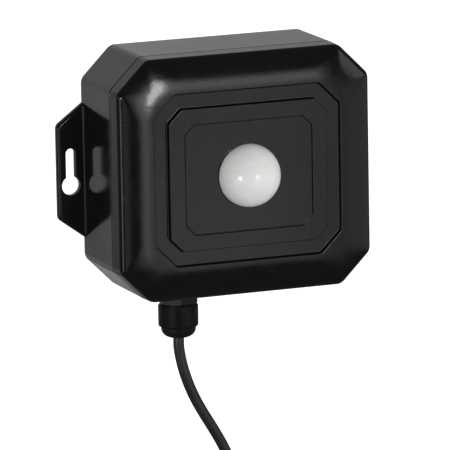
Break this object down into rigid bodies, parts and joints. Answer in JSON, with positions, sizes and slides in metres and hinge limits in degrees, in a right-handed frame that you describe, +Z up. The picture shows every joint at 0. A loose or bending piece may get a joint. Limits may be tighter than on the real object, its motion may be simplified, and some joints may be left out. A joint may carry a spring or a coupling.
{
  "type": "light sensor",
  "caption": "Wall-mounted light sensor: an eight-sided black housing with a domed white lens, keyhole ears, a cable gland below and a coiled cord with a jack plug.",
  "frame": {"origin": "centre of the housing's flat rear face, on the wall", "axes": "+X to the right as the viewer sees it, +Y into the wall, +Z up; the lens faces -Y"},
  "size_m": [0.1382, 0.061, 0.289],
  "materials": {
    "gloss_housing": "glossy moulded black",
    "lens_white": "glossy milky white diffuser",
    "matte_nylon": "matte black nylon",
    "seal_rubber": "soft dull rubber",
    "board": "green solder mask",
    "chip": "dull moulded package",
    "can": "sleeved can",
    "ceramic": "ceramic package with a clear window",
    "terminal": "green moulded terminal",
    "steel": "plated screws",
    "contact": "polished plated contacts",
    "jacket": "satin cord jacket",
    "strap": "woven hook-and-loop strap",
    "red_core": "satin insulation",
    "white_core": "satin insulation",
    "black_core": "satin insulation"
  },
  "bodies": {
    "root": {"rear_base": "gloss_housing", "front_cover": "gloss_housing", "cover_gasket": "seal_rubber", "case_screws": "steel", "dome_lens": "lens_white", "lens_seal": "seal_rubber", "lens_retainer": "matte_nylon", "retainer_screws": "steel", "light_shield": "matte_nylon", "photodiode": "ceramic", "circuit_board": "board", "board_screws": "steel", "main_chip": "chip", "amplifier_chip": "chip", "capacitors": "can", "resistors": "chip", "terminal_block": "terminal", "terminal_screws": "steel", "wire_red": "red_core", "wire_white": "white_core", "wire_black": "black_core", "gland_body": "matte_nylon", "gland_washer": "seal_rubber", "gland_lock_nut": "matte_nylon", "gland_seal": "seal_rubber", "gland_nut": "matte_nylon", "cord_inner": "jacket", "cord_lead": "jacket", "cord_coil": "jacket", "cord_tail": "jacket", "cord_ties": "strap", "plug_grip": "matte_nylon", "plug_contacts": "contact", "plug_insulators": "chip"}
  },
  "joints": []
}
